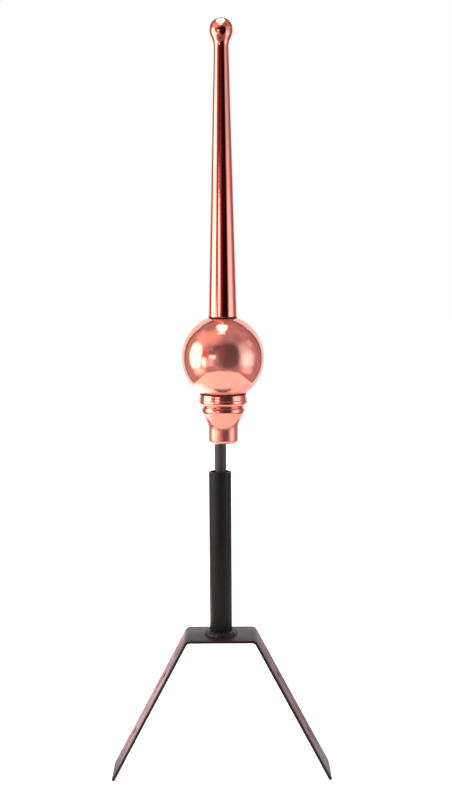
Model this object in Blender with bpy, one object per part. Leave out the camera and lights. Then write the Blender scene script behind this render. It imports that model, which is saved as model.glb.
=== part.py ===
"""Rooftop finial: a polished copper spire, globe and cup on a black steel rod, which stands in a
tube welded to a saddle of flat bar that straddles the ridge of a roof.

Metres, +Z up. The origin is on the tube's axis, level with the ends of the saddle's legs.
X runs across the saddle, from leg to leg, and Y along the ridge.
"""
import math

import bmesh
import bpy
from mathutils import Matrix, Vector

# Gap left between pieces that touch in the real finial
GAP = 0.0003

# Saddle: one flat bar bent twice, with two screw holes in each leg
BAR_WIDTH = 0.0635
BAR_THICKNESS = 0.0032
SADDLE_WIDTH = 0.0836
LEG_SLOPE = math.radians(62.15)
LEG_LENGTH = 0.1943
BEND_INSIDE_RADIUS = 0.0048
LEG_CORNER_RADIUS = 0.003
SCREW_HOLE_DIAMETER = 0.008
SCREW_HOLE_MARGIN = 0.058

# Mast: the tube, the weld round its foot and the rod that stands in it
TUBE_DIAMETER = 0.0267
TUBE_WALL = 0.00287
TUBE_LENGTH = 0.198
WELD_LEG = 0.005
WELD_CROWN = 0.0006
ROD_DIAMETER = 0.0137
ROD_OFFSET = 0.0006
ROD_SHOWING = 0.0343

# Copper finial: it hangs a little to one side of the rod, within the play of its cup's hole
FINIAL_OFFSET = 0.0042
CUP_WALL = 0.001
CUP_SPIGOT_DIAMETER = 0.0352
CUP_SPIGOT_HEIGHT = 0.0164
CUP_BOTTOM_ROUND = 0.0047
CUP_COVE_RADIUS = 0.0194
CUP_TAPER_HEIGHT = 0.0188
CUP_GROOVE_DIAMETER = 0.048
CUP_LOWER_BEAD_DIAMETER = 0.0514
CUP_LOWER_BEAD_ROUND = 0.0068
CUP_UPPER_BEAD_DIAMETER = 0.0582
CUP_UPPER_BEAD_ROUND = 0.0062
CUP_NECK_DIAMETER = 0.0538
CUP_LIP_DIAMETER = 0.0558
CUP_LIP_HEIGHT = 0.0044
GLOBE_DIAMETER = 0.0976
GLOBE_BAND = 0.0023
SPIRE_BASE_DIAMETER = 0.0336
SPIRE_NECK_DIAMETER = 0.0175
SPIRE_LENGTH = 0.312
BALL_DIAMETER = 0.0275
BALL_DROP = 0.018
BALL_FULLNESS = 1.15

# Fineness of the round shapes
ROUND_SEGMENTS = 40
HOLE_SEGMENTS = 24
BEND_STEPS = 6
CORNER_STEPS = 3
CAP_STEPS = 10
UPPER_BEAD_STEPS = 7
CURVE_STEPS = 4
SMOOTH_ANGLE = math.radians(35)

# Points nearer than this are one point
SAME_POINT = 0.00001

# Levels, from the ground up
saddle_top = LEG_LENGTH * math.sin(LEG_SLOPE) + BAR_THICKNESS * math.cos(LEG_SLOPE)
tube_foot = saddle_top + GAP
cup_foot = tube_foot + TUBE_LENGTH + ROD_SHOWING


def arc(centre_r, centre_z, radius, start, end, steps):
    """Points of an arc about (centre_r, centre_z), from start to end in radians above +X."""
    angles = [start + (end - start) * i / steps for i in range(steps + 1)]
    return [(centre_r + radius * math.cos(a), centre_z + radius * math.sin(a)) for a in angles]


def material(name, colour, roughness, metallic):
    """One Principled material with a linear base colour."""
    result = bpy.data.materials.new(name)
    result.use_nodes = True
    shader = result.node_tree.nodes["Principled BSDF"]
    shader.inputs["Base Color"].default_value = (*colour, 1.0)
    shader.inputs["Roughness"].default_value = roughness
    shader.inputs["Metallic"].default_value = metallic
    return result


def polished_copper(piece):
    return material(piece + " polished copper", (0.93, 0.52, 0.40), 0.07, 1.0)


def black_coating(piece):
    return material(piece + " black powder coat", (0.035, 0.032, 0.035), 0.42, 0.0)


def add_object(name, mesh, finish, parent, height):
    """Places a mesh on its parent's axis, at a height above the ground, in its finish."""
    result = bpy.data.objects.new(name, mesh)
    bpy.context.scene.collection.objects.link(result)
    mesh.materials.append(finish)
    result.parent = parent
    result.location = (0.0, 0.0, height)
    return result


def add_axis(name, offset):
    """An upright axis, as an empty that its pieces hang from."""
    result = bpy.data.objects.new(name, None)
    bpy.context.scene.collection.objects.link(result)
    result.location = (offset, 0.0, 0.0)
    return result


def finished_mesh(name, shape):
    """Turns a bmesh into a mesh with its faces out, smooth where it is round."""
    bmesh.ops.recalc_face_normals(shape, faces=shape.faces)
    mesh = bpy.data.meshes.new(name)
    shape.to_mesh(mesh)
    shape.free()
    mesh.shade_smooth()
    mesh.set_sharp_from_angle(angle=SMOOTH_ANGLE)
    return mesh


def turned(name, profile, closed=False):
    """Spins a profile of (radius, height) points round the upright axis."""
    shape = bmesh.new()
    points = [shape.verts.new((radius, 0.0, height)) for radius, height in profile]
    pairs = list(zip(points, points[1:]))
    if closed:
        pairs.append((points[-1], points[0]))
    edges = [shape.edges.new(pair) for pair in pairs]
    bmesh.ops.spin(
        shape,
        geom=points + edges,
        cent=(0.0, 0.0, 0.0),
        axis=(0.0, 0.0, 1.0),
        angle=math.tau,
        steps=ROUND_SEGMENTS,
        use_merge=True,
    )
    bmesh.ops.remove_doubles(shape, verts=shape.verts, dist=SAME_POINT)
    return finished_mesh(name, shape)


def bar_outline():
    """The bent bar seen from the front: along its outer face, then back along its inner face."""
    outside_radius = BEND_INSIDE_RADIUS + BAR_THICKNESS
    bend_centre = SADDLE_WIDTH / 2 - outside_radius * math.tan(LEG_SLOPE / 2)
    down_leg = Vector((math.cos(LEG_SLOPE), -math.sin(LEG_SLOPE)))
    inward = Vector((-math.sin(LEG_SLOPE), -math.cos(LEG_SLOPE)))
    outer_end = Vector((SADDLE_WIDTH / 2, 0.0)) + down_leg * LEG_LENGTH
    inner_end = outer_end + inward * BAR_THICKNESS
    start = math.pi / 2
    end = start - LEG_SLOPE
    outer_bend = arc(bend_centre, -outside_radius, outside_radius, start, end, BEND_STEPS)
    inner_bend = arc(bend_centre, -outside_radius, BEND_INSIDE_RADIUS, start, end, BEND_STEPS)
    outer = outer_bend + [tuple(outer_end)]
    inner = inner_bend + [tuple(inner_end)]
    outer = [(-x, z) for x, z in reversed(outer)] + outer
    inner = [(-x, z) for x, z in reversed(inner)] + inner
    return outer + inner[::-1]


def round_leg_corners(shape):
    """Rounds the four corners of the bar's two cut ends."""
    reach = max(vertex.co.x for vertex in shape.verts) - BAR_THICKNESS
    corners = [
        edge
        for edge in shape.edges
        if all(abs(vertex.co.x) > reach for vertex in edge.verts)
        and abs(edge.verts[0].co.y - edge.verts[1].co.y) < GAP
    ]
    bmesh.ops.bevel(
        shape,
        geom=corners,
        offset=LEG_CORNER_RADIUS,
        offset_type="OFFSET",
        segments=CORNER_STEPS,
        profile=0.5,
        affect="EDGES",
    )


def add_bracket():
    shape = bmesh.new()
    corners = [shape.verts.new((x, -BAR_WIDTH / 2, z)) for x, z in bar_outline()]
    front = shape.faces.new(corners)
    swept = bmesh.ops.extrude_face_region(shape, geom=[front])
    moved = [item for item in swept["geom"] if isinstance(item, bmesh.types.BMVert)]
    bmesh.ops.translate(shape, verts=moved, vec=(0.0, BAR_WIDTH, 0.0))
    round_leg_corners(shape)
    mesh = finished_mesh("roof_bracket", shape)
    bracket = add_object("roof_bracket", mesh, black_coating("bracket"), mast_axis, saddle_top)
    holes = bracket.modifiers.new("screw holes", "BOOLEAN")
    holes.operation = "DIFFERENCE"
    holes.solver = "EXACT"
    holes.object = add_hole_cutter()
    return bracket


def add_hole_cutter():
    """Four pins square to the legs, each set in from the bend's corner or from the leg's end."""
    pin_length = BAR_THICKNESS * 4
    shape = bmesh.new()
    for side in (-1, 1):
        turn = Matrix.Rotation(side * LEG_SLOPE, 4, "Y")
        corner = Matrix.Translation((side * SADDLE_WIDTH / 2, 0.0, 0.0))
        for along in (SCREW_HOLE_MARGIN, LEG_LENGTH - SCREW_HOLE_MARGIN):
            bmesh.ops.create_cone(
                shape,
                cap_ends=True,
                segments=HOLE_SEGMENTS,
                radius1=SCREW_HOLE_DIAMETER / 2,
                radius2=SCREW_HOLE_DIAMETER / 2,
                depth=pin_length,
                matrix=corner @ turn @ Matrix.Translation((side * along, 0.0, 0.0)),
            )
    mesh = finished_mesh("screw_hole_cutter", shape)
    cutter = add_object("screw_hole_cutter", mesh, black_coating("cutter"), mast_axis, saddle_top)
    cutter.hide_render = True
    cutter.display_type = "WIRE"
    return cutter


def add_tube():
    outside = TUBE_DIAMETER / 2
    inside = outside - TUBE_WALL
    profile = [(outside, TUBE_LENGTH), (outside, 0.0), (inside, 0.0), (inside, TUBE_LENGTH)]
    mesh = turned("mast_tube", profile, closed=True)
    return add_object("mast_tube", mesh, black_coating("tube"), mast_axis, tube_foot)


def add_weld():
    """The bead round the tube's foot: a fillet with a slightly full face."""
    root = TUBE_DIAMETER / 2 + GAP
    toe = TUBE_DIAMETER / 2 + WELD_LEG
    bulge = WELD_CROWN / math.sqrt(2)
    middle = ((root + toe) / 2 + bulge, WELD_LEG / 2 + bulge)
    profile = [(root, WELD_LEG), middle, (toe, 0.0), (root, 0.0)]
    mesh = turned("weld_bead", profile, closed=True)
    return add_object("weld_bead", mesh, black_coating("weld"), mast_axis, tube_foot)


def add_rod():
    """A plain rod from the saddle, through the tube and the cup's hole, to the globe's underside."""
    radius = ROD_DIAMETER / 2
    length = globe_foot - GAP - tube_foot
    profile = [(0.0, length), (radius, length), (radius, 0.0), (0.0, 0.0)]
    return add_object("rod", turned("rod", profile), black_coating("rod"), rod_axis, tube_foot)


def cup_taper(spigot, groove, taper_top):
    """A straight taper from the lower bead, drawn into a cove that meets the spigot."""
    cove_centre = spigot + CUP_COVE_RADIUS
    across = groove - cove_centre
    reach = math.hypot(across, CUP_TAPER_HEIGHT)
    meeting = math.atan2(CUP_TAPER_HEIGHT, across) + math.acos(CUP_COVE_RADIUS / reach)
    cove = arc(cove_centre, CUP_SPIGOT_HEIGHT, CUP_COVE_RADIUS, meeting, math.pi, CURVE_STEPS)
    return [(groove, taper_top)] + cove


def cup_profile():
    """The outside of the cup, from its lip down to the hole in its bottom."""
    spigot = CUP_SPIGOT_DIAMETER / 2
    groove = CUP_GROOVE_DIAMETER / 2
    neck = CUP_NECK_DIAMETER / 2
    hole = ROD_DIAMETER / 2 + abs(FINIAL_OFFSET - ROD_OFFSET) + GAP
    lower_centre = CUP_LOWER_BEAD_DIAMETER / 2 - CUP_LOWER_BEAD_ROUND
    upper_centre = CUP_UPPER_BEAD_DIAMETER / 2 - CUP_UPPER_BEAD_ROUND
    lower_swing = math.acos((groove - lower_centre) / CUP_LOWER_BEAD_ROUND)
    upper_swing = math.acos((groove - upper_centre) / CUP_UPPER_BEAD_ROUND)
    neck_swing = math.acos((neck - upper_centre) / CUP_UPPER_BEAD_ROUND)
    taper_top = CUP_SPIGOT_HEIGHT + CUP_TAPER_HEIGHT
    lower_z = taper_top + CUP_LOWER_BEAD_ROUND * math.sin(lower_swing)
    groove_z = lower_z + CUP_LOWER_BEAD_ROUND * math.sin(lower_swing)
    upper_z = groove_z + CUP_UPPER_BEAD_ROUND * math.sin(upper_swing)
    lip_z = upper_z + CUP_UPPER_BEAD_ROUND * math.sin(neck_swing) + CUP_LIP_HEIGHT
    lip = [(CUP_LIP_DIAMETER / 2, lip_z)]
    upper_bead = (upper_centre, upper_z, CUP_UPPER_BEAD_ROUND)
    lower_bead = (lower_centre, lower_z, CUP_LOWER_BEAD_ROUND)
    bottom_round = (spigot - CUP_BOTTOM_ROUND, CUP_BOTTOM_ROUND, CUP_BOTTOM_ROUND)
    upper = arc(*upper_bead, neck_swing, -upper_swing, UPPER_BEAD_STEPS)
    lower = arc(*lower_bead, lower_swing, -lower_swing, CURVE_STEPS)
    taper = cup_taper(spigot, groove, taper_top)
    bottom = arc(*bottom_round, 0.0, -math.pi / 2, CURVE_STEPS)
    return lip + upper + lower[1:] + taper[1:] + bottom + [(hole, 0.0)], lip_z


def add_cup():
    """A spun cup, open at its lip and round the rod: its skin is drawn and then given its wall."""
    profile, _ = cup_profile()
    mesh = turned("base_cup", profile)
    cup = add_object("base_cup", mesh, polished_copper("cup"), finial_axis, cup_foot)
    wall = cup.modifiers.new("wall", "SOLIDIFY")
    wall.thickness = CUP_WALL
    wall.offset = -1.0
    wall.use_even_offset = True
    return cup


def add_globe():
    """Two half balls with a short band between them, sealed, so it is one solid."""
    radius = GLOBE_DIAMETER / 2
    upper = arc(0.0, radius + GLOBE_BAND, radius, math.pi / 2, 0.0, CAP_STEPS)
    lower = arc(0.0, radius, radius, 0.0, -math.pi / 2, CAP_STEPS)
    mesh = turned("globe", upper + lower)
    return add_object("globe", mesh, polished_copper("globe"), finial_axis, globe_foot)


def ball_underside(neck_z):
    """The ball's lower half, which draws in like a drop to the spire's neck."""
    neck = SPIRE_NECK_DIAMETER / 2
    points = []
    for i in range(1, CAP_STEPS):
        down = i / CAP_STEPS
        share = (1 + math.cos(math.pi * down**BALL_FULLNESS)) / 2
        points.append((neck + (BALL_DIAMETER / 2 - neck) * share, neck_z + BALL_DROP * (1 - down)))
    return points


def add_spire():
    """The tapered spire with its ball in one piece, hollowed below to sit on the globe."""
    seat_radius = GLOBE_DIAMETER / 2 + GAP
    base = SPIRE_BASE_DIAMETER / 2
    seat_swing = math.asin(base / seat_radius)
    base_z = seat_radius * math.cos(seat_swing)
    neck_z = base_z + SPIRE_LENGTH
    ball = arc(0.0, neck_z + BALL_DROP, BALL_DIAMETER / 2, math.pi / 2, 0.0, CAP_STEPS)
    foot = [(SPIRE_NECK_DIAMETER / 2, neck_z), (base, base_z)]
    seat = arc(0.0, 0.0, seat_radius, math.pi / 2 - seat_swing, math.pi / 2, CURVE_STEPS)
    profile = ball + ball_underside(neck_z) + foot + seat[1:]
    centre = globe_foot + GLOBE_DIAMETER / 2 + GLOBE_BAND
    mesh = turned("spire", profile)
    return add_object("spire", mesh, polished_copper("spire"), finial_axis, centre)


for leftover in list(bpy.data.objects):
    bpy.data.objects.remove(leftover, do_unlink=True)

# The globe rests in the cup's lip, which sets how high it stands
lip_inside = CUP_LIP_DIAMETER / 2 - CUP_WALL
globe_sink = math.sqrt((GLOBE_DIAMETER / 2 + GAP) ** 2 - lip_inside**2)
globe_foot = cup_foot + cup_profile()[1] + globe_sink - GLOBE_DIAMETER / 2

mast_axis = add_axis("mast_axis", 0.0)
rod_axis = add_axis("rod_axis", ROD_OFFSET)
finial_axis = add_axis("finial_axis", FINIAL_OFFSET)
add_bracket()
add_tube()
add_weld()
add_rod()
add_cup()
add_globe()
add_spire()
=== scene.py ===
"""Dresses the rooftop finial: polished copper spire, globe and cup on a black powder-coated mast.

Metres, +Z up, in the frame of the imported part. X runs across the saddle from leg to leg, Y along
the roof's ridge, and the camera looks along +Y.
"""
import math

import bmesh
import bpy
from bpy.props import FloatProperty, FloatVectorProperty, IntProperty, PointerProperty
from bpy.types import Operator, Panel, PropertyGroup
from mathutils import Matrix, Vector, noise


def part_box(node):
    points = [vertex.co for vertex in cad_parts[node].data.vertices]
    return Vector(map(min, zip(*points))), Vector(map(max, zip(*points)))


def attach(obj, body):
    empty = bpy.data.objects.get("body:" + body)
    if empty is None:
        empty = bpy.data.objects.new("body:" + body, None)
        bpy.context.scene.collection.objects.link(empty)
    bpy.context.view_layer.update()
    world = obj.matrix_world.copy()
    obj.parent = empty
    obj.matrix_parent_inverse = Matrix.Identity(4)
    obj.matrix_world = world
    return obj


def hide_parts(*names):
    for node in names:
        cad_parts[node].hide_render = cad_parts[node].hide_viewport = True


bl_info = {
    "name": "Rooftop Finial",
    "version": (1, 0, 0),
    "blender": (4, 5, 0),
    "location": "View3D > Sidebar > Finial",
    "description": "Builds the dressed rooftop finial and its studio",
    "category": "Object",
}

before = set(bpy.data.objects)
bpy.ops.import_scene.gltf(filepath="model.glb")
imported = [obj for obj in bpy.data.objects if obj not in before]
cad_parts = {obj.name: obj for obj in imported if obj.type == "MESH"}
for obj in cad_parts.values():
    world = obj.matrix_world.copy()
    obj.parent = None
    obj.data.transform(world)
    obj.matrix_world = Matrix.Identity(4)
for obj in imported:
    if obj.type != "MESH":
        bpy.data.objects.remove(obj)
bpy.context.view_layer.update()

BODY = "root"
SMOOTH_ANGLE = math.radians(40)
SAME_POINT = 0.000005


# ---------------------------------------------------------------- sizes


def length(name, description, default):
    """A size in metres, shown in the scene's own unit."""
    return FloatProperty(name=name, description=description, default=default, unit="LENGTH")


class SaddleSizes(PropertyGroup):
    """The bar that straddles the ridge."""

    bar_width: length("Bar width", "Width of the flat bar", 0.0635)
    bar_thickness: length("Bar thickness", "Thickness of the flat bar", 0.0032)
    width: length("Saddle width", "Level stretch between the bends' sharp outer corners", 0.0836)
    leg_slope: FloatProperty(
        name="Leg slope",
        description="Slope of the legs below level",
        default=math.radians(62.15),
        subtype="ANGLE",
    )
    leg_length: length("Leg length", "From the bend's sharp outer corner to the leg's end", 0.1943)
    bend_radius: length("Bend radius", "Inside radius of the bends", 0.0048)
    corner_radius: length("Corner radius", "Rounding of the bar's cut corners", 0.003)
    edge_round: length("Edge rounding", "Rounding of the bar's long edges under the coat", 0.00025)
    hole_diameter: length("Screw hole", "Diameter of the screw holes", 0.008)
    hole_margin: length("Hole margin", "Hole centre to the bend's corner or the leg's end", 0.058)


class MastSizes(PropertyGroup):
    """The tube, its weld and the rod."""

    tube_diameter: length("Tube diameter", "Outside diameter of the tube", 0.0267)
    tube_wall: length("Tube wall", "Wall of the tube", 0.00287)
    rim_round: length("Rim rounding", "Rounding of the tube's rims under the coat", 0.0005)
    rod_diameter: length("Rod diameter", "Diameter of the rod", 0.0137)
    rod_offset: length("Rod offset", "How far the rod stands to the right in the tube", 0.0006)
    weld_leg: length("Weld leg", "Leg of the fillet weld round the tube's foot", 0.005)
    weld_ripple: length("Weld ripple", "Height of the lumps in the weld", 0.0006)


class CopperSizes(PropertyGroup):
    """The spun copper pieces."""

    offset: length("Offset", "How far the copper hangs to the right of the tube's axis", 0.0042)
    wall: length("Cup wall", "Wall of the cup", 0.001)
    spigot_diameter: length("Spigot diameter", "Diameter of the cup's plain foot", 0.0352)
    spigot_height: length("Spigot height", "Height of the cup's plain foot", 0.0164)
    bottom_round: length("Bottom rounding", "Rounding of the cup's foot", 0.0047)
    cove_radius: length("Cove radius", "Cove between the taper and the foot", 0.0194)
    taper_height: length("Taper height", "Height of the cup's taper", 0.0188)
    groove_diameter: length("Groove diameter", "Diameter of the groove between the beads", 0.048)
    lower_bead: length("Lower bead", "Diameter over the lower bead", 0.0514)
    lower_round: length("Lower bead radius", "Radius of the lower bead's face", 0.0068)
    upper_bead: length("Upper bead", "Diameter over the upper bead", 0.0582)
    upper_round: length("Upper bead radius", "Radius of the upper bead's face", 0.0062)
    neck_diameter: length("Neck diameter", "Narrowest place above the beads", 0.0538)
    lip_diameter: length("Lip diameter", "Diameter over the cup's lip", 0.0558)
    globe_diameter: length("Globe diameter", "Diameter of the globe", 0.0976)
    globe_band: length("Globe band", "Straight band between the half balls", 0.0023)
    spire_base: length("Spire base", "Diameter of the spire where it meets the globe", 0.0336)
    spire_neck: length("Spire neck", "Diameter of the spire under its ball", 0.0175)
    spire_length: length("Spire length", "From the globe to the neck", 0.312)
    ball_diameter: length("Ball diameter", "Diameter of the ball", 0.0275)
    ball_drop: length("Ball drop", "From the ball's middle down to the neck", 0.018)
    ball_fullness: FloatProperty(
        name="Ball fullness", description="How long the ball stays full before it draws in", default=1.15
    )
    base_roll: length("Base roll", "How far the spire's foot edge is rolled out", 0.0006)


class Fineness(PropertyGroup):
    """How finely the round shapes are cut."""

    around: IntProperty(name="Around", description="Steps round a turned piece", default=144)
    arc: IntProperty(name="Arc", description="Steps along a ball's quarter", default=36)
    small_arc: IntProperty(name="Small arc", description="Steps along a bead, cove or rounding", default=14)


class StudioSettings(PropertyGroup):
    """The camera."""

    lens: FloatProperty(name="Lens", description="Focal length on a 36 mm frame", default=65.25)
    camera_place: FloatVectorProperty(
        name="Camera place",
        description="Where the camera stands",
        default=(0.0075, -1.7015, 0.6667),
        unit="LENGTH",
    )
    pitch: FloatProperty(
        name="Pitch",
        description="How far the camera looks down",
        default=math.radians(7.02),
        subtype="ANGLE",
    )
    roll: FloatProperty(
        name="Roll",
        description="Turn of the picture, counter-clockwise",
        default=math.radians(0.32),
        subtype="ANGLE",
    )


# ---------------------------------------------------------------- colour and node helpers


def srgb(code):
    """A hex colour as the screen shows it, turned into linear light with full alpha."""
    channels = [int(code[i : i + 2], 16) / 255 for i in (1, 3, 5)]
    linear = [c / 12.92 if c <= 0.04045 else ((c + 0.055) / 1.055) ** 2.4 for c in channels]
    return (*linear, 1.0)


def add_node(tree, kind, settings=None, inputs=None, links=None):
    """Adds one node, sets its properties and sockets and links its inputs from other sockets."""
    node = tree.nodes.new(kind)
    for name, value in (settings or {}).items():
        setattr(node, name, value)
    for name, value in (inputs or {}).items():
        node.inputs[name].default_value = value
    for name, socket in (links or {}).items():
        tree.links.new(socket, node.inputs[name])
    return node


def new_material(name):
    """An empty node material with its Principled shader already wired to the output."""
    result = bpy.data.materials.new(name)
    result.use_nodes = True
    return result, result.node_tree, result.node_tree.nodes["Principled BSDF"]


def set_ramp(node, stops):
    """Gives a colour ramp its (position, colour) stops."""
    ramp = node.color_ramp
    while len(ramp.elements) > 1:
        ramp.elements.remove(ramp.elements[-1])
    ramp.elements[0].position, ramp.elements[0].color = stops[0]
    for position, colour in stops[1:]:
        ramp.elements.new(position).color = colour


# ---------------------------------------------------------------- materials


def polished_copper(piece, tone, haze, film, joint_shade=(), dull=None):
    """Copper, spun over a former and then buffed.

    The buffing leaves a mirror with a faint haze, and the spinning tool leaves fine rings, which
    draw the highlights out a little along the axis. Handling leaves slightly browner, duller areas.
    Tone, haze (roughness) and film (share of tarnish) each run between two ends. A joint's painted shade line
    is given by its height and half its width, and dull fades out an extra roughness between two heights.
    """
    result, tree, shader = new_material(f"Polished copper, spun and buffed ({piece})")
    place = add_node(tree, "ShaderNodeTexCoord").outputs["Object"]
    # Tarnish clouds, 25 to 60 mm across
    cloud = add_node(tree, "ShaderNodeTexNoise", inputs={"Scale": 24.0, "Detail": 3.0}, links={"Vector": place})
    colours = add_node(tree, "ShaderNodeValToRGB", links={"Fac": cloud.outputs["Fac"]})
    set_ramp(colours, [(0.3, srgb(tone[0])), (0.7, srgb(tone[1]))])
    colour = colours.outputs["Color"]
    height = add_node(tree, "ShaderNodeSeparateXYZ", links={"Vector": place}).outputs["Z"]
    # Painted shade along the joints: a dark brown line where one piece meets the next, in place of the shaded
    # crease there
    for middle, half in joint_shade:
        away = add_node(tree, "ShaderNodeMath", {"operation": "SUBTRACT"}, {1: middle}, {0: height})
        away = add_node(tree, "ShaderNodeMath", {"operation": "ABSOLUTE"}, links={0: away.outputs[0]})
        full, gone = half * 0.6, half * 1.2
        joint_shade_mask = add_node(
            tree,
            "ShaderNodeMapRange",
            inputs={"From Min": full, "From Max": gone, "To Min": 1.0, "To Max": 0.0},
            links={"Value": away.outputs[0]},
        )
        mixed = add_node(tree, "ShaderNodeMix", {"data_type": "RGBA"})
        tree.links.new(joint_shade_mask.outputs[0], mixed.inputs[0])
        tree.links.new(colour, mixed.inputs[6])
        mixed.inputs[7].default_value = srgb("#5c1d1c")
        colour = mixed.outputs[2]
    tree.links.new(colour, shader.inputs["Base Color"])
    # Buffing haze, in streaks about 6 mm wide
    streak_shape = (1.0, 1.0, 0.25)
    drawn_out = add_node(tree, "ShaderNodeMapping", inputs={"Scale": streak_shape}, links={"Vector": place})
    streaks = add_node(
        tree,
        "ShaderNodeTexNoise",
        inputs={"Scale": 160.0, "Detail": 2.0},
        links={"Vector": drawn_out.outputs["Vector"]},
    )
    rough = add_node(
        tree,
        "ShaderNodeMapRange",
        inputs={"From Min": 0.3, "From Max": 0.7, "To Min": haze[0], "To Max": haze[1]},
        links={"Value": streaks.outputs["Fac"]},
    )
    roughness = rough.outputs["Result"]
    if dull:
        # Places that are held in the hand, and out of the wheel's reach
        low, high, extra = dull
        handled = add_node(
            tree,
            "ShaderNodeMapRange",
            inputs={"From Min": low, "From Max": high, "To Min": extra, "To Max": 0.0},
            links={"Value": height},
        ).outputs["Result"]
        total = add_node(tree, "ShaderNodeMath", {"operation": "ADD"}, links={0: roughness, 1: handled})
        roughness = total.outputs["Value"]
    tree.links.new(roughness, shader.inputs["Roughness"])
    # Spinning rings, drawn at 1.2 mm because the real 0.3 mm ones are finer than the picture shows
    ring_shape = (0.05, 0.05, 1.0)
    flattened = add_node(tree, "ShaderNodeMapping", inputs={"Scale": ring_shape}, links={"Vector": place})
    rings = add_node(
        tree,
        "ShaderNodeTexNoise",
        inputs={"Scale": 800.0, "Detail": 2.0},
        links={"Vector": flattened.outputs["Vector"]},
    )
    # Soft dents from the spinning roller, 10 mm across
    dents = add_node(
        tree,
        "ShaderNodeTexNoise",
        inputs={"Scale": 130.0, "Detail": 1.0},
        links={"Vector": place},
    )
    dent_bump = add_node(
        tree,
        "ShaderNodeBump",
        inputs={"Strength": 0.25, "Distance": 0.0002},
        links={"Height": dents.outputs["Fac"]},
    )
    ring_bump = add_node(
        tree,
        "ShaderNodeBump",
        inputs={"Strength": 0.06, "Distance": 0.00002},
        links={"Height": rings.outputs["Fac"], "Normal": dent_bump.outputs["Normal"]},
    )
    tree.links.new(ring_bump.outputs["Normal"], shader.inputs["Normal"])
    # A thin film of tarnish scatters a little light, unevenly
    clean = add_node(
        tree,
        "ShaderNodeMapRange",
        inputs={"From Min": 0.3, "From Max": 0.7, "To Min": 1.0 - film[1], "To Max": 1.0 - film[0]},
        links={"Value": cloud.outputs["Fac"]},
    )
    tree.links.new(clean.outputs["Result"], shader.inputs["Metallic"])
    return result


def powder_coat(piece, tone, tint, lump=0.0, soot=None):
    """Steel, blasted, sprayed with black powder and baked.

    The baked powder flows into a satin skin with a fine orange peel; rubbed places are a little
    glossier, and dust greys it slightly. Lump is how strongly spatter shows through, and soot the
    distances from the tube's axis between which the matt ring round the weld fades out.
    """
    result, tree, shader = new_material(f"Black powder coat, sprayed and baked ({piece})")
    place = add_node(tree, "ShaderNodeTexCoord").outputs["Object"]
    # Dust and handling, in patches of 15 to 40 mm
    patches = add_node(
        tree,
        "ShaderNodeTexNoise",
        inputs={"Scale": 45.0, "Detail": 4.0},
        links={"Vector": place},
    )
    colours = add_node(tree, "ShaderNodeValToRGB", links={"Fac": patches.outputs["Fac"]})
    set_ramp(colours, [(0.3, srgb(tone[0])), (0.75, srgb(tone[1]))])
    tree.links.new(colours.outputs["Color"], shader.inputs["Base Color"])
    rough = add_node(
        tree,
        "ShaderNodeMapRange",
        inputs={"From Min": 0.3, "From Max": 0.7, "To Min": 0.36, "To Max": 0.48},
        links={"Value": patches.outputs["Fac"]},
    )
    roughness = rough.outputs["Result"]
    # Orange peel, about 1.5 mm from crest to crest
    peel = add_node(tree, "ShaderNodeTexNoise", inputs={"Scale": 700.0, "Detail": 1.5}, links={"Vector": place})
    relief = {"Height": peel.outputs["Fac"]}
    if lump:
        # Weld spatter under the coat, beads of 2 to 4 mm
        spatter = add_node(tree, "ShaderNodeTexVoronoi", inputs={"Scale": 330.0}, links={"Vector": place})
        beads = add_node(
            tree,
            "ShaderNodeBump",
            inputs={"Strength": lump, "Distance": 0.0004},
            links={"Height": spatter.outputs["Distance"]},
        )
        relief["Normal"] = beads.outputs["Normal"]
    bump = add_node(tree, "ShaderNodeBump", inputs={"Strength": 0.35, "Distance": 0.00005}, links=relief)
    tree.links.new(bump.outputs["Normal"], shader.inputs["Normal"])
    if soot:
        # Matt, thinly coated metal round the weld, in an oval that is longer from front to back
        oval = (1.0, 0.6, 0.0)
        flat = add_node(tree, "ShaderNodeVectorMath", {"operation": "MULTIPLY"}, {1: oval}, {0: place})
        away = add_node(tree, "ShaderNodeVectorMath", {"operation": "LENGTH"}, links={0: flat.outputs[0]})
        matt = add_node(
            tree,
            "ShaderNodeMapRange",
            inputs={"From Min": soot[0], "From Max": soot[1], "To Min": 0.45, "To Max": 0.0},
            links={"Value": away.outputs["Value"]},
        ).outputs["Result"]
        total = add_node(tree, "ShaderNodeMath", {"operation": "ADD"}, links={0: roughness, 1: matt})
        roughness = total.outputs["Value"]
    tree.links.new(roughness, shader.inputs["Roughness"])
    shader.inputs["IOR"].default_value = 1.5
    # The specular tint colours the reflections, so a pink tint is a painted pinkish reflection
    shader.inputs["Specular Tint"].default_value = srgb(tint)
    return result


# ---------------------------------------------------------------- shape helpers


def arc(centre_r, centre_z, radius, start, end, steps):
    """Points of an arc about (centre_r, centre_z), from start to end in radians above +X."""
    angles = [start + (end - start) * i / steps for i in range(steps + 1)]
    return [(centre_r + radius * math.cos(a), centre_z + radius * math.sin(a)) for a in angles]


def finished_mesh(name, shape):
    """Turns a bmesh into a mesh with its faces out, smooth where it is round."""
    bmesh.ops.recalc_face_normals(shape, faces=shape.faces)
    mesh = bpy.data.meshes.new(name)
    shape.to_mesh(mesh)
    shape.free()
    mesh.shade_smooth()
    mesh.set_sharp_from_angle(angle=SMOOTH_ANGLE)
    return mesh


def turned(profile, around, closed=False):
    """Spins a profile of (radius, height) points round the upright axis into a bmesh."""
    shape = bmesh.new()
    points = [shape.verts.new((radius, 0.0, height)) for radius, height in profile]
    pairs = list(zip(points, points[1:]))
    if closed:
        pairs.append((points[-1], points[0]))
    edges = [shape.edges.new(pair) for pair in pairs]
    bmesh.ops.spin(
        shape,
        geom=points + edges,
        cent=(0.0, 0.0, 0.0),
        axis=(0.0, 0.0, 1.0),
        angle=math.tau,
        steps=around,
        use_merge=True,
    )
    bmesh.ops.remove_doubles(shape, verts=shape.verts, dist=SAME_POINT)
    return shape


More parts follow.
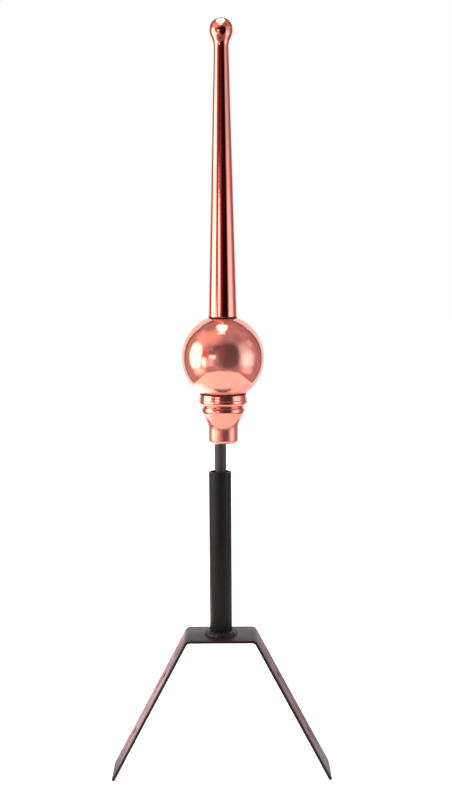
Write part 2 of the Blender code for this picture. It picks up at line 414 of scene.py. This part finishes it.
def place_piece(name, mesh, finish, nodes, offset=(0.0, 0.0, 0.0)):
    """Puts a mesh in the scene in its finish, riding on the frame in place of its solids."""
    piece = bpy.data.objects.new(name, mesh)
    bpy.context.scene.collection.objects.link(piece)
    piece.location = offset
    mesh.materials.append(finish)
    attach(piece, BODY)
    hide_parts(*nodes)
    return piece


# ---------------------------------------------------------------- stage


def mirrored_only(piece, in_light=False):
    """Hides a stage piece from the camera and from shadows; in_light keeps its glow on matt surfaces."""
    piece.visible_camera = False
    piece.visible_shadow = False
    piece.visible_diffuse = in_light


def add_card(name, centre, size, target, colour, strength, power, softness, in_light):
    """A soft-edged glowing card that only reflections and light see, turned to face a target."""
    half_x, half_y = size[0] / 2, size[1] / 2
    corners = [(-half_x, -half_y, 0.0), (half_x, -half_y, 0.0), (half_x, half_y, 0.0), (-half_x, half_y, 0.0)]
    card = add_stage_mesh(name, [(corners, 0)], [card_material(name, colour, strength, power, softness)])
    facing = (Vector(target) - Vector(centre)).to_track_quat("Z", "Y")
    card.matrix_world = Matrix.Translation(centre) @ facing.to_matrix().to_4x4()
    mirrored_only(card, in_light)


def card_material(name, colour, strength, power, softness):
    """Light that fades to nothing towards the card's edges; a high power keeps the corners square."""
    result = bpy.data.materials.new(name + " light")
    result.use_nodes = True
    tree = result.node_tree
    tree.nodes.clear()
    place = add_node(tree, "ShaderNodeTexCoord").outputs["Generated"]
    centred = add_node(
        tree,
        "ShaderNodeMapping",
        inputs={"Location": (-1.0, -1.0, 0.0), "Scale": (2.0, 2.0, 1.0)},
        links={"Vector": place},
    )
    axes = add_node(tree, "ShaderNodeSeparateXYZ", links={"Vector": centred.outputs["Vector"]})
    terms = []
    for axis in ("X", "Y"):
        away = add_node(tree, "ShaderNodeMath", {"operation": "ABSOLUTE"}, links={0: axes.outputs[axis]})
        term = add_node(tree, "ShaderNodeMath", {"operation": "POWER"}, {1: power}, {0: away.outputs[0]})
        terms.append(term.outputs[0])
    total = add_node(tree, "ShaderNodeMath", {"operation": "ADD"}, links={0: terms[0], 1: terms[1]})
    reach = add_node(tree, "ShaderNodeMath", {"operation": "POWER"}, {1: 1.0 / power}, {0: total.outputs[0]})
    fade = add_node(
        tree,
        "ShaderNodeMapRange",
        {"interpolation_type": "SMOOTHSTEP"},
        {"From Min": 1.0, "From Max": 1.0 - softness, "To Min": 0.0, "To Max": 1.0},
        {"Value": reach.outputs[0]},
    )
    glow = add_node(tree, "ShaderNodeEmission", inputs={"Color": colour, "Strength": strength})
    clear = add_node(tree, "ShaderNodeBsdfTransparent")
    parts = {0: fade.outputs[0], 1: clear.outputs[0], 2: glow.outputs[0]}
    mixed = add_node(tree, "ShaderNodeMixShader", links=parts)
    output = add_node(tree, "ShaderNodeOutputMaterial")
    tree.links.new(mixed.outputs[0], output.inputs["Surface"])
    return result


def add_stage_mesh(name, faces, materials):
    """A stage object from flat faces, each a list of corners and the number of its material."""
    shape = bmesh.new()
    for corners, index in faces:
        face = shape.faces.new([shape.verts.new(corner) for corner in corners])
        face.material_index = index
    mesh = bpy.data.meshes.new(name)
    shape.to_mesh(mesh)
    shape.free()
    for material in materials:
        mesh.materials.append(material)
    piece = bpy.data.objects.new(name, mesh)
    bpy.context.scene.collection.objects.link(piece)
    return piece


def add_room(low, high, opening):
    """The dim room that the copper mirrors: a box whose far wall opens to the bright backdrop."""
    left, right, top = opening
    (x0, near, z0), (x1, far, z1) = low, high

    def upright(points):
        return [(x, far, z) for x, z in points]

    walls = [
        [(x0, near, z0), (x0, far, z0), (x0, far, z1), (x0, near, z1)],
        [(x1, near, z0), (x1, far, z0), (x1, far, z1), (x1, near, z1)],
        [(x0, near, z0), (x1, near, z0), (x1, near, z1), (x0, near, z1)],
        [(x0, near, z1), (x1, near, z1), (x1, far, z1), (x0, far, z1)],
    ]
    ground = [(x0, near, z0), (x1, near, z0), (x1, far, z0), (x0, far, z0)]
    # Width of the dark frame round the opening, and the top of the strip under it
    rim, strip_top = 0.16, -0.01
    far_wall = [
        upright([(x0, z0), (left - rim, z0), (left - rim, z1), (x0, z1)]),
        upright([(right + rim, z0), (x1, z0), (x1, z1), (right + rim, z1)]),
        upright([(left - rim, top + rim), (right + rim, top + rim), (right + rim, z1), (left - rim, z1)]),
    ]
    dark_rim = [
        upright([(left - rim, z0), (left, z0), (left, top + rim), (left - rim, top + rim)]),
        upright([(right, z0), (right + rim, z0), (right + rim, top + rim), (right, top + rim)]),
        upright([(left, top), (right, top), (right, top + rim), (left, top + rim)]),
        upright([(left, z0), (right, z0), (right, strip_top), (left, strip_top)]),
    ]
    faces = [(wall, 0) for wall in walls + far_wall] + [(ground, 1)] + [(wall, 2) for wall in dark_rim]
    finishes = [
        room_material("room walls", "#98748c", "#c696a0"),
        room_material("room ground", "#9a6d78", "#b48490"),
        room_material("backdrop frame", "#4a2f38", "#5a3b45"),
    ]
    mirrored_only(add_stage_mesh("dim_room", faces, finishes))


def room_material(name, dark, light):
    """A wall or sheet that glows by itself, with clouds about 0.9 m across."""
    result = bpy.data.materials.new(name)
    result.use_nodes = True
    tree = result.node_tree
    tree.nodes.clear()
    place = add_node(tree, "ShaderNodeTexCoord").outputs["Object"]
    cloud = add_node(tree, "ShaderNodeTexNoise", inputs={"Scale": 1.1, "Detail": 2.0}, links={"Vector": place})
    colours = add_node(tree, "ShaderNodeValToRGB", links={"Fac": cloud.outputs["Fac"]})
    set_ramp(colours, [(0.35, srgb(dark)), (0.65, srgb(light))])
    colour = colours.outputs["Color"]
    glow = add_node(tree, "ShaderNodeEmission", inputs={"Strength": 1.0}, links={"Color": colour})
    output = add_node(tree, "ShaderNodeOutputMaterial")
    tree.links.new(glow.outputs[0], output.inputs["Surface"])
    result.cycles.emission_sampling = "NONE"
    return result


def white_paper(name, glow):
    """Matt white background paper, with the faint cloud of its fibres, lit from below by glow."""
    result, tree, shader = new_material(name)
    place = add_node(tree, "ShaderNodeTexCoord").outputs["Object"]
    fibres = add_node(
        tree,
        "ShaderNodeTexNoise",
        inputs={"Scale": 12.0, "Detail": 6.0},
        links={"Vector": place},
    )
    colours = add_node(tree, "ShaderNodeValToRGB", links={"Fac": fibres.outputs["Fac"]})
    set_ramp(colours, [(0.3, srgb("#f4f3f2")), (0.7, srgb("#f8f7f7"))])
    tree.links.new(colours.outputs["Color"], shader.inputs["Base Color"])
    shader.inputs["Roughness"].default_value = 0.9
    shader.inputs["Emission Color"].default_value = srgb("#ffffff")
    shader.inputs["Emission Strength"].default_value = glow
    return result


# Glowing cards: name, centre, size, what each one faces, colour, strength, the power that squares its
# corners, the softness of its edges, and whether matt surfaces get its light too
CARDS = (
    ("back_left_glow", (-0.29, 0.6, 0.004), (0.5, 1.24), "up", "#ffccd5", 3.6, 4.0, 0.4, False),
    ("back_right_glow", (0.29, 0.6, 0.004), (0.5, 1.2), "up", "#f6bccb", 1.5, 3.0, 0.5, False),
    ("left_softbox", (-1.15, -0.16, 0.62), (1.08, 1.3), "globe", "#ffffff", 3.2, 2.6, 0.34, True),
    ("softbox_edge", (-0.96, -0.72, 0.34), (0.44, 0.6), "globe", "#fff2f2", 3.0, 3.0, 0.7, True),
    ("left_glow", (-1.0, -0.3, 1.45), (1.6, 1.5), "globe", "#f4c0b8", 1.4, 2.0, 0.8, True),
    ("left_ground_glow", (-1.02, -0.3, 0.02), (0.95, 1.1), "up", "#ffe4e0", 2.0, 2.5, 0.8, True),
    ("right_ground_glow", (1.1, -0.3, 0.02), (1.0, 1.1), "up", "#f8ccd4", 1.6, 2.5, 0.8, True),
    ("window_top", (-1.34, -2.38, 0.66), (1.08, 0.54), "spire", "#ffdfe2", 3.0, 3.0, 0.3, True),
    ("window_side", (-1.78, -1.4, 0.86), (0.68, 0.9), "spire", "#d83c40", 0.95, 4.0, 0.25, False),
    ("window_blind", (-1.36, -2.3, 1.22), (1.1, 0.6), "spire", "#70101c", 0.9, 4.0, 0.3, False),
    ("pink_wall", (-1.5, -2.45, 0.9), (1.5, 2.4), "spire", "#f0b8cc", 0.85, 2.5, 0.6, True),
    ("window_low", (-0.86, -1.2, 0.28), (0.8, 0.56), "spire", "#f2cadf", 1.4, 2.5, 0.7, True),
    ("left_far_wall", (-0.84, 0.44, 0.84), (0.36, 0.86), "spire", "#d8966c", 0.95, 4.0, 0.3, False),
    ("high_left_wall", (-1.2, 0.44, 1.72), (1.3, 0.9), "spire", "#e8c4cb", 1.0, 3.0, 0.5, False),
    ("high_right_wall", (1.82, 0.0, 1.34), (0.9, 0.8), "spire", "#f0d4e4", 1.0, 3.0, 0.6, False),
    ("right_reflector", (1.24, -0.4, 0.42), (1.6, 1.2), "globe", "#e4eaff", 1.9, 2.5, 0.85, True),
    ("right_lamp", (1.1, -0.5, 0.38), (0.56, 0.6), "spire", "#ffffff", 2.0, 2.0, 1.0, True),
    ("right_glow", (1.5, -0.7, 0.9), (2.1, 2.0), "globe", "#b8c0c8", 1.6, 2.0, 0.8, True),
    ("overhead_softbox", (-0.01, 0.0, 1.08), (0.22, 0.34), "down", "#ffffff", 6.0, 2.4, 0.4, True),
    ("overhead_bar", (-0.035, -0.2, 1.08), (0.24, 0.07), "down", "#ffffff", 3.0, 3.0, 0.5, True),
    ("ceiling_glow", (-0.32, -0.35, 1.3), (1.2, 1.2), "globe", "#ffcab4", 1.05, 2.0, 0.95, True),
    ("dark_screen", (0.36, -1.14, 0.74), (1.8, 2.1), "spire", "#2a0e1c", 1.0, 2.6, 0.5, False),
    ("screen_fold", (-0.02, -1.12, 0.8), (0.42, 1.1), "spire", "#7a2030", 0.9, 2.0, 0.9, False),
    ("dark_lamp", (-0.35, -1.15, 1.13), (0.9, 0.66), "spire", "#5a2028", 1.0, 2.5, 0.7, False),
)


class FINIAL_OT_stage(Operator):
    """Sets up the camera, the white paper and the lights"""

    bl_idname = "finial.stage"
    bl_label = "Stage"

    def execute(self, context):
        studio = context.scene.finial_studio
        self.add_camera(context, studio)
        self.add_world(context)
        self.add_floor()
        self.add_lights()
        context.scene.view_settings.view_transform = "Standard"
        context.scene.view_settings.look = "None"
        return {"FINISHED"}

    def add_camera(self, context, studio):
        data = bpy.data.cameras.new("camera")
        data.lens = studio.lens
        data.sensor_width = 36.0
        camera = bpy.data.objects.new("camera", data)
        context.scene.collection.objects.link(camera)
        tilt = Matrix.Rotation(math.pi / 2 - studio.pitch, 4, "X")
        turn = Matrix.Rotation(-studio.roll, 4, "Z")
        camera.matrix_world = Matrix.Translation(studio.camera_place) @ tilt @ turn
        context.scene.camera = camera

    def add_world(self, context):
        world = bpy.data.worlds.new("white surroundings")
        world.use_nodes = True
        background = world.node_tree.nodes["Background"]
        background.inputs["Color"].default_value = srgb("#ffffff")
        background.inputs["Strength"].default_value = 1.0
        context.scene.world = world

    def add_floor(self):
        """A wide white floor that reflections miss, and the paper and backdrop that only they see."""
        shadow_z, floor_z = -0.0002, -0.0004
        sheet = [(-0.54, 0.5), (-0.64, -0.52), (-0.3, -0.93), (0.3, -0.93), (0.64, -0.52), (0.54, 0.5)]
        whole = [(x, y, 0.0) for x, y in sheet + [(0.54, 1.3), (-0.54, 1.3)]]
        mirrored_only(add_stage_mesh("paper_sheet", [(whole, 0)], [white_paper("white background paper", 0.0)]))
        # The paper's dark edge, a little wider than the sheet and just under it
        margin = 1.05
        edge = [(x * margin, y * margin, shadow_z) for x, y in sheet]
        shadow = room_material("paper's shadow", "#5a2c34", "#703c46")
        mirrored_only(add_stage_mesh("paper_shadow", [(edge, 0)], [shadow]))
        back = [(-2.5, 1.3, -0.7), (2.5, 1.3, -0.7), (2.5, 1.3, 2.6), (-2.5, 1.3, 2.6)]
        bright = room_material("bright backdrop", "#fdfbfd", "#fffdff")
        mirrored_only(add_stage_mesh("bright_backdrop", [(back, 0)], [bright]))
        half = 8.0
        wide = [(-half, -half, floor_z), (half, -half, floor_z), (half, half, floor_z), (-half, half, floor_z)]
        floor = add_stage_mesh("wide_floor", [(wide, 0)], [white_paper("white light table", 0.7)])
        floor.visible_glossy = False

    def add_lights(self):
        """The room that the copper mirrors, and the cards in it."""
        add_room((-1.9, -2.6, -0.75), (1.9, 0.5, 2.3), (-0.55, 0.55, 1.08))
        for name, centre, size, facing, colour, strength, power, softness, in_light in CARDS:
            x, y, _ = centre
            targets = {
                "globe": (0.0, 0.0, 0.55),
                "spire": (0.0, 0.0, 0.6),
                "up": (x, y, 3.0),
                "down": (x, y, 0.0),
            }
            add_card(name, centre, size, targets[facing], srgb(colour), strength, power, softness, in_light)


# ---------------------------------------------------------------- copper pieces


class FINIAL_OT_spire(Operator):
    """Turns the copper spire with its ball tip"""

    bl_idname = "finial.spire"
    bl_label = "Spire"

    def execute(self, context):
        sizes, fine = context.scene.finial_copper, context.scene.finial_fineness
        low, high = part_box("spire")
        ball_centre = high.z - sizes.ball_diameter / 2
        neck_z = ball_centre - sizes.ball_drop
        base_z = neck_z - sizes.spire_length
        profile = self.ball(sizes, fine, ball_centre, neck_z)
        profile += self.shaft(sizes, neck_z, base_z)
        # The foot's edge, then the shallow dish that stands over the globe
        base = sizes.spire_base / 2
        edge_inset, dish_inset, dish_rise, dish_top = 0.0005, 0.004, 0.0012, 0.004
        profile += [(base - edge_inset, low.z), (base - dish_inset, base_z + dish_rise)]
        profile += [(0.0, base_z + dish_top)]
        mesh = finished_mesh("copper_spire", turned(profile, fine.around))
        # Painted shade along the joint at the spire's foot, just above the globe
        seam_rise, shade_half = 0.0006, 0.0008
        finish = polished_copper(
            "spire",
            tone=("#f49f88", "#f9aa95"),
            haze=(0.03, 0.06),
            film=(0.0, 0.0),
            joint_shade=[(base_z + seam_rise, shade_half)],
        )
        place_piece("copper_spire", mesh, finish, ["spire"], (sizes.offset, 0.0, 0.0))
        return {"FINISHED"}

    def ball(self, sizes, fine, ball_centre, neck_z):
        """The round tip, then the drop that draws in to the neck."""
        points = arc(0.0, ball_centre, sizes.ball_diameter / 2, math.pi / 2, 0.0, fine.arc)
        neck = sizes.spire_neck / 2
        for i in range(1, fine.arc):
            down = i / fine.arc
            share = (1 + math.cos(math.pi * down**sizes.ball_fullness)) / 2
            radius = neck + (sizes.ball_diameter / 2 - neck) * share
            points.append((radius, neck_z + sizes.ball_drop * (1 - down)))
        return points

    def shaft(self, sizes, neck_z, base_z):
        """The long straight taper and the little roll at its foot."""
        neck, base = sizes.spire_neck / 2, sizes.spire_base / 2
        roll_middle, roll_top = base_z + 0.0008, base_z + 0.0016
        steps = 24
        points = []
        for i in range(steps + 1):
            down = i / steps
            points.append((neck + (base - neck) * down, neck_z + (roll_top - neck_z) * down))
        return points + arc(base, roll_middle, sizes.base_roll, math.pi / 2, -math.pi / 2, 6)


class FINIAL_OT_globe(Operator):
    """Turns the copper globe, two half balls with a short band between them"""

    bl_idname = "finial.globe"
    bl_label = "Globe"

    def execute(self, context):
        sizes, fine = context.scene.finial_copper, context.scene.finial_fineness
        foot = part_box("globe")[0].z
        radius = sizes.globe_diameter / 2
        upper = arc(0.0, foot + radius + sizes.globe_band, radius, math.pi / 2, 0.0, fine.arc)
        lower = arc(0.0, foot + radius, radius, 0.0, -math.pi / 2, fine.arc)
        mesh = finished_mesh("copper_globe", turned(upper + lower, fine.around))
        finish = polished_copper("globe", tone=("#f6aa92", "#fab49f"), haze=(0.11, 0.16), film=(0.07, 0.12))
        place_piece("copper_globe", mesh, finish, ["globe"], (sizes.offset, 0.0, 0.0))
        return {"FINISHED"}


class FINIAL_OT_cup(Operator):
    """Turns the copper cup with its two beads, taper and foot"""

    bl_idname = "finial.cup"
    bl_label = "Cup"

    def execute(self, context):
        sizes, fine = context.scene.finial_copper, context.scene.finial_fineness
        mast = context.scene.finial_mast
        low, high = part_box("base_cup")
        foot = low.z
        outside = self.outside(sizes, fine, high.z - foot)
        inside = self.offset_inward(outside, sizes.wall)
        play = 0.0003
        hole = mast.rod_diameter / 2 + abs(sizes.offset - mast.rod_offset) + play
        profile = outside + [(hole, 0.0), (hole, sizes.wall)] + inside[::-1]
        profile = [(radius, foot + height) for radius, height in profile]
        mesh = finished_mesh("copper_cup", turned(profile, fine.around, closed=True))
        # Painted shade along the joint at the cup's lip, where the globe sits
        seam_rise, shade_half = 0.0592, 0.0009
        dull_full, dull_gone, extra_roughness = 0.018, 0.03, 0.18
        finish = polished_copper(
            "cup",
            tone=("#f4a48c", "#f9ae98"),
            haze=(0.05, 0.1),
            film=(0.02, 0.06),
            joint_shade=[(foot + seam_rise, shade_half)],
            dull=(foot + dull_full, foot + dull_gone, extra_roughness),
        )
        place_piece("copper_cup", mesh, finish, ["base_cup"], (sizes.offset, 0.0, 0.0))
        return {"FINISHED"}

    def outside(self, sizes, fine, lip_z):
        """The cup's outer line from its lip down to its foot, above the foot."""
        spigot, groove = sizes.spigot_diameter / 2, sizes.groove_diameter / 2
        lower_centre = sizes.lower_bead / 2 - sizes.lower_round
        upper_centre = sizes.upper_bead / 2 - sizes.upper_round
        lower_swing = math.acos((groove - lower_centre) / sizes.lower_round)
        upper_swing = math.acos((groove - upper_centre) / sizes.upper_round)
        taper_top = sizes.spigot_height + sizes.taper_height
        lower_z = taper_top + sizes.lower_round * math.sin(lower_swing)
        groove_z = lower_z + sizes.lower_round * math.sin(lower_swing)
        upper_z = groove_z + sizes.upper_round * math.sin(upper_swing)
        steps = fine.small_arc
        rim_height, neck_drop, neck_spread = 0.0006, 0.0012, 0.0006
        lip_r, rim_z = sizes.lip_diameter / 2, lip_z - rim_height
        neck_r, neck_z = sizes.neck_diameter / 2 + neck_spread, lip_z - neck_drop
        flare = self.flare(lip_r, rim_z, neck_r, neck_z, steps)
        band = self.stepped_band(sizes.upper_bead / 2, upper_z)
        lower = arc(lower_centre, lower_z, sizes.lower_round, lower_swing, -lower_swing, steps)
        taper = self.taper(sizes, spigot, groove, steps)
        r = sizes.bottom_round
        bottom = arc(spigot - r, r, r, 0.0, -math.pi / 2, steps)
        lip = [(lip_r, lip_z), (lip_r, rim_z)]
        return lip + flare + band + [(groove, groove_z)] + lower[1:] + taper + bottom

    def stepped_band(self, crest, middle_z):
        """The upper bead: a nearly upright band with a small step in its middle, which draws in below."""
        step_z = middle_z + 0.0019
        # How far each point lies inside the bead's full radius, and how far above the step
        above_step = [(0.0013, 0.0056), (0.0013, 0.0052), (0.001, 0.0032), (0.0009, 0.0028), (0.0009, 0.0008)]
        step = [(0.0008, 0.0004), (0.0004, 0.0), (0.0003, -0.0003), (0.0003, -0.0034), (0.0004, -0.0037)]
        drawn_in = [(0.0008, -0.0044), (0.0014, -0.0051), (0.0022, -0.0058), (0.0034, -0.0066)]
        return [(crest - inward, step_z + above) for inward, above in above_step + step + drawn_in]

    def flare(self, lip_r, lip_z, neck_r, neck_z, steps):
        """The neck's gentle curve out to the lip."""
        points = []
        for i in range(1, steps + 1):
            down = i / steps
            ease = (1 + math.cos(math.pi * down)) / 2
            points.append((neck_r + (lip_r - neck_r) * ease, lip_z + (neck_z - lip_z) * down))
        return points

    def taper(self, sizes, spigot, groove, steps):
        """The straight taper and the cove that meets the foot."""
        cove_centre = spigot + sizes.cove_radius
        across = groove - cove_centre
        reach = math.hypot(across, sizes.taper_height)
        meeting = math.atan2(sizes.taper_height, across) + math.acos(sizes.cove_radius / reach)
        return arc(cove_centre, sizes.spigot_height, sizes.cove_radius, meeting, math.pi, steps)

    def offset_inward(self, line, wall):
        """The same line moved in by the wall."""
        points = []
        for i, (radius, height) in enumerate(line):
            before, after = line[max(i - 1, 0)], line[min(i + 1, len(line) - 1)]
            along = Vector((after[0] - before[0], after[1] - before[1])).normalized()
            points.append((radius + along.y * wall, height - along.x * wall))
        points[0] = (line[0][0] - wall, line[0][1])
        return points


# ---------------------------------------------------------------- steel pieces


def saddle_level(saddle):
    """Height of the bar's top face above the ends of the legs."""
    return saddle.leg_length * math.sin(saddle.leg_slope) + saddle.bar_thickness * math.cos(saddle.leg_slope)


class FINIAL_OT_mast(Operator):
    """Turns the rod and the tube with its rounded rims"""

    bl_idname = "finial.mast"
    bl_label = "Rod and tube"

    def execute(self, context):
        sizes, fine = context.scene.finial_mast, context.scene.finial_fineness
        self.add_rod(sizes, fine)
        self.add_tube(sizes, fine)
        return {"FINISHED"}

    def add_rod(self, sizes, fine):
        low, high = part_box("rod")
        turn, r = math.pi / 2, 0.0004
        inner = sizes.rod_diameter / 2 - r
        upper = arc(inner, high.z - r, r, turn, 0.0, 4)
        lower = arc(inner, low.z + r, r, 0.0, -turn, 4)
        profile = [(0.0, high.z)] + upper + lower + [(0.0, low.z)]
        mesh = finished_mesh("steel_rod", turned(profile, fine.around // 2))
        finish = powder_coat("rod", ("#2a282a", "#323033"), "#e8e0e4")
        place_piece("steel_rod", mesh, finish, ["rod"], (sizes.rod_offset, 0.0, 0.0))

    def add_tube(self, sizes, fine):
        low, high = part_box("mast_tube")
        outside, inside = sizes.tube_diameter / 2, sizes.tube_diameter / 2 - sizes.tube_wall
        turn, r = math.pi / 2, sizes.rim_round
        profile = arc(outside - r, high.z - r, r, turn, 0.0, 5)
        profile += arc(outside - r, low.z + r, r, 0.0, -turn, 5)
        profile += arc(inside + r, low.z + r, r, -turn, -2 * turn, 5)
        profile += arc(inside + r, high.z - r, r, 2 * turn, turn, 5)
        mesh = finished_mesh("steel_tube", turned(profile, fine.around, closed=True))
        finish = powder_coat("tube", ("#080808", "#0e0e0e"), "#b8bcba")
        place_piece("steel_tube", mesh, finish, ["mast_tube"])


class FINIAL_OT_weld(Operator):
    """Lays the hand-run weld round the tube's foot"""

    bl_idname = "finial.weld"
    bl_label = "Weld"

    def execute(self, context):
        sizes, fine = context.scene.finial_mast, context.scene.finial_fineness
        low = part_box("weld_bead")[0].z
        gap = 0.0003
        root = sizes.tube_diameter / 2 + gap
        toe = sizes.tube_diameter / 2 + sizes.weld_leg
        around = fine.around * 2
        across = 10
        shape = bmesh.new()
        rings = []
        for step in range(around):
            swing = math.tau * step / around
            section = self.section(sizes, root, toe, low, swing, across)
            rings.append([shape.verts.new(point) for point in section])
        for ring, following in zip(rings, rings[1:] + rings[:1]):
            for i in range(len(ring)):
                j = (i + 1) % len(ring)
                shape.faces.new((ring[i], ring[j], following[j], following[i]))
        mesh = finished_mesh("weld_bead_run", shape)
        finish = powder_coat("weld", ("#0b0b0b", "#121212"), "#f4f0f0", lump=0.6)
        place_piece("weld_bead_run", mesh, finish, ["weld_bead"])
        return {"FINISHED"}

    def section(self, sizes, root, toe, low, swing, across):
        """One cut through the bead: along its lumpy face from tube to bar, then back under it."""
        ripples, drift = 22, 3.0
        wander = drift * noise.noise((math.cos(swing) * 3, math.sin(swing) * 3, 0.0))
        ripple = 0.5 + 0.5 * math.cos(swing * ripples + wander)
        lump = noise.noise((math.cos(swing) * 3.3, math.sin(swing) * 3.3, 4.0))
        leg = sizes.weld_leg * (0.94 + 0.1 * lump) - sizes.weld_ripple * 0.35 * ripple
        points = []
        for i in range(across + 1):
            share = i / across
            angle = share * math.pi / 2
            fullness = 0.66 + 0.06 * lump * math.sin(math.pi * share)
            out = leg * math.sin(angle) ** (1 / fullness)
            up = leg * math.cos(angle) ** (1 / fullness)
            points.append((root + min(out, toe - root), low + up))
        points.append((root, low))
        return [(r * math.cos(swing), r * math.sin(swing), z) for r, z in points]


class FINIAL_OT_bracket(Operator):
    """Bends the bar over the ridge and drills its screw holes"""

    bl_idname = "finial.bracket"
    bl_label = "Roof bracket"

    def execute(self, context):
        sizes, fine = context.scene.finial_saddle, context.scene.finial_fineness
        top = saddle_level(sizes)
        shape = bmesh.new()
        corners = [shape.verts.new((x, -sizes.bar_width / 2, top + z)) for x, z in self.outline(sizes, fine)]
        front = shape.faces.new(corners)
        swept = bmesh.ops.extrude_face_region(shape, geom=[front])
        moved = [item for item in swept["geom"] if isinstance(item, bmesh.types.BMVert)]
        bmesh.ops.translate(shape, verts=moved, vec=(0.0, sizes.bar_width, 0.0))
        self.round_leg_corners(shape, sizes)
        mesh = finished_mesh("saddle_bar", shape)
        # Its pink specular tint is a painted reflection of pinkish surroundings
        finish = powder_coat("bracket", ("#0a0809", "#120f10"), "#ffd8dc", soot=(0.016, 0.021))
        bar = place_piece("saddle_bar", mesh, finish, ["roof_bracket"])
        cutter = self.hole_cutter(sizes, top)
        holes = bar.modifiers.new("screw holes", "BOOLEAN")
        holes.operation = "DIFFERENCE"
        holes.solver = "EXACT"
        holes.object = cutter
        edges = bar.modifiers.new("soft edges", "BEVEL")
        edges.width = sizes.edge_round
        edges.segments = 3
        edges.limit_method = "ANGLE"
        edges.angle_limit = math.radians(50)
        edges.harden_normals = False
        self.apply_modifiers(context, bar, cutter)
        return {"FINISHED"}

    def outline(self, sizes, fine):
        """The bent bar from the front: along its outer face, then back along its inner face."""
        outside_radius = sizes.bend_radius + sizes.bar_thickness
        bend_centre = sizes.width / 2 - outside_radius * math.tan(sizes.leg_slope / 2)
        down_leg = Vector((math.cos(sizes.leg_slope), -math.sin(sizes.leg_slope)))
        inward = Vector((-math.sin(sizes.leg_slope), -math.cos(sizes.leg_slope)))
        outer_end = Vector((sizes.width / 2, 0.0)) + down_leg * sizes.leg_length
        inner_end = outer_end + inward * sizes.bar_thickness
        start = math.pi / 2
        end = start - sizes.leg_slope
        outer_bend = arc(bend_centre, -outside_radius, outside_radius, start, end, fine.small_arc)
        inner_bend = arc(bend_centre, -outside_radius, sizes.bend_radius, start, end, fine.small_arc)
        outer = outer_bend + [tuple(outer_end)]
        inner = inner_bend + [tuple(inner_end)]
        outer = [(-x, z) for x, z in reversed(outer)] + outer
        inner = [(-x, z) for x, z in reversed(inner)] + inner
        return outer + inner[::-1]

    def round_leg_corners(self, shape, sizes):
        """Rounds the cut corners: the edges at the legs' ends that run through the bar's thickness."""
        reach = max(vertex.co.x for vertex in shape.verts) - sizes.bar_thickness
        same_depth = 0.001
        corners = [
            edge
            for edge in shape.edges
            if all(abs(vertex.co.x) > reach for vertex in edge.verts)
            and abs(edge.verts[0].co.y - edge.verts[1].co.y) < same_depth
        ]
        bmesh.ops.bevel(
            shape,
            geom=corners,
            offset=sizes.corner_radius,
            offset_type="OFFSET",
            segments=6,
            profile=0.5,
            affect="EDGES",
        )

    def hole_cutter(self, sizes, top):
        """Four pins square to the legs."""
        shape = bmesh.new()
        for side in (-1, 1):
            turn = Matrix.Rotation(side * sizes.leg_slope, 4, "Y")
            corner = Matrix.Translation((side * sizes.width / 2, 0.0, top))
            for along in (sizes.hole_margin, sizes.leg_length - sizes.hole_margin):
                bmesh.ops.create_cone(
                    shape,
                    cap_ends=True,
                    segments=48,
                    radius1=sizes.hole_diameter / 2,
                    radius2=sizes.hole_diameter / 2,
                    depth=sizes.bar_thickness * 4,
                    matrix=corner @ turn @ Matrix.Translation((side * along, 0.0, 0.0)),
                )
        cutter = bpy.data.objects.new("hole_cutter", finished_mesh("hole_cutter", shape))
        bpy.context.scene.collection.objects.link(cutter)
        return cutter

    def apply_modifiers(self, context, bar, cutter):
        """Keeps the drilled and softened mesh and removes the pins."""
        context.view_layer.update()
        depsgraph = context.evaluated_depsgraph_get()
        result = bpy.data.meshes.new_from_object(bar.evaluated_get(depsgraph), depsgraph=depsgraph)
        result.name = "saddle_bar_drilled"
        bar.modifiers.clear()
        bar.data = result
        bar.data.shade_smooth()
        bar.data.set_sharp_from_angle(angle=SMOOTH_ANGLE)
        bpy.data.objects.remove(cutter, do_unlink=True)


class FINIAL_PT_panel(Panel):
    """Lists the steps in the sidebar"""

    bl_idname = "FINIAL_PT_panel"
    bl_label = "Rooftop Finial"
    bl_space_type = "VIEW_3D"
    bl_region_type = "UI"
    bl_category = "Finial"

    def draw(self, context):
        for step in STEPS:
            self.layout.operator(step.bl_idname)


STEPS = (
    FINIAL_OT_stage,
    FINIAL_OT_spire,
    FINIAL_OT_globe,
    FINIAL_OT_cup,
    FINIAL_OT_mast,
    FINIAL_OT_weld,
    FINIAL_OT_bracket,
)
GROUPS = {
    "finial_saddle": SaddleSizes,
    "finial_mast": MastSizes,
    "finial_copper": CopperSizes,
    "finial_fineness": Fineness,
    "finial_studio": StudioSettings,
}


def register():
    for group in GROUPS.values():
        bpy.utils.register_class(group)
    for name, group in GROUPS.items():
        setattr(bpy.types.Scene, name, PointerProperty(type=group))
    for step in STEPS:
        bpy.utils.register_class(step)
    bpy.utils.register_class(FINIAL_PT_panel)


def unregister():
    bpy.utils.unregister_class(FINIAL_PT_panel)
    for step in reversed(STEPS):
        bpy.utils.unregister_class(step)
    for name in GROUPS:
        delattr(bpy.types.Scene, name)
    for group in reversed(list(GROUPS.values())):
        bpy.utils.unregister_class(group)


def main():
    register()
    bpy.ops.finial.stage()
    bpy.ops.finial.spire()
    bpy.ops.finial.globe()
    bpy.ops.finial.cup()
    bpy.ops.finial.mast()
    bpy.ops.finial.weld()
    bpy.ops.finial.bracket()


if __name__ == "__main__":
    main()
